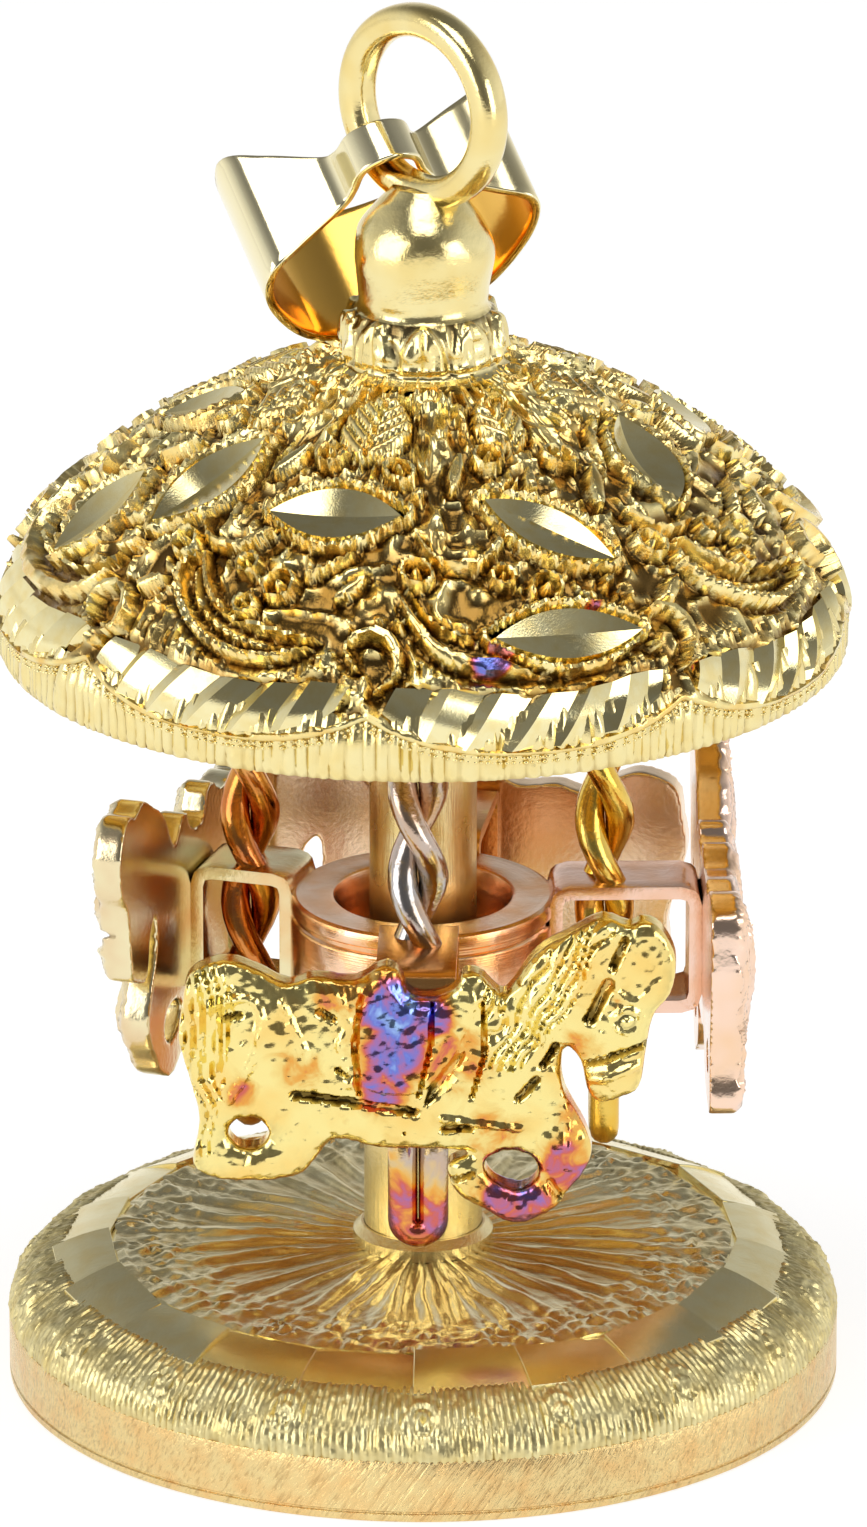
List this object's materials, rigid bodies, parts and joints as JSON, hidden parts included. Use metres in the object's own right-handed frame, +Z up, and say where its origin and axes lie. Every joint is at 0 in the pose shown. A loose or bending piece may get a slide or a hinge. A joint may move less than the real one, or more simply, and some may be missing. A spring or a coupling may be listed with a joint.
{
  "type": "carousel charm pendant",
  "caption": "Carousel pendant charm: horses on twisted poles turn on a centre post between a round base and a domed canopy; a bail hangs from the loop ring.",
  "frame": {"origin": "middle of the underside of the base, on the post's axis", "axes": "+Z up the centre post, -Y the front, +X to the right of someone facing the front horse"},
  "size_m": [0.013, 0.013, 0.0219],
  "materials": {
    "yellow_gold": "bright yellow gold, stamped, milled and diamond cut",
    "satin_gold": "satin yellow gold",
    "pale_gold": "polished pale yellow gold",
    "rose_gold": "rose tinted gold",
    "green_gold": "pale green tinted gold",
    "pink_gold": "pink tinted gold",
    "fired_gold": "gold darkened orange to brown by heat"
  },
  "bodies": {
    "body": {"base_plate": "satin_gold", "base_cover": "yellow_gold", "post_foot": "yellow_gold", "center_post": "satin_gold", "post_sleeve": "satin_gold", "thrust_collar": "fired_gold", "canopy": "yellow_gold", "canopy_bush": "yellow_gold", "finial": "yellow_gold", "loop_ring": "yellow_gold"},
    "rotor": {"hub_ring": "rose_gold", "bracket_front": "fired_gold", "bracket_right": "fired_gold", "bracket_back": "fired_gold", "bracket_left": "fired_gold", "pole_front": "fired_gold", "pole_right": "fired_gold", "pole_back": "fired_gold", "pole_left": "fired_gold", "horse_front": "yellow_gold", "horse_right": "rose_gold", "horse_back": "pink_gold", "horse_left": "green_gold"},
    "bail": {"bail": "pale_gold"}
  },
  "joints": [
    {"name": "rotor_spin", "type": "hinge", "parent": "body", "child": "rotor", "pos_m": [0, 0, 0], "axis": [0, 0, 1], "continuous": true},
    {"name": "bail_swing", "type": "hinge", "parent": "body", "child": "bail", "pos_m": [0, 0, 0.02031], "axis": [0.6691, 0.7431, 0], "range_deg": [0, 255]}
  ]
}
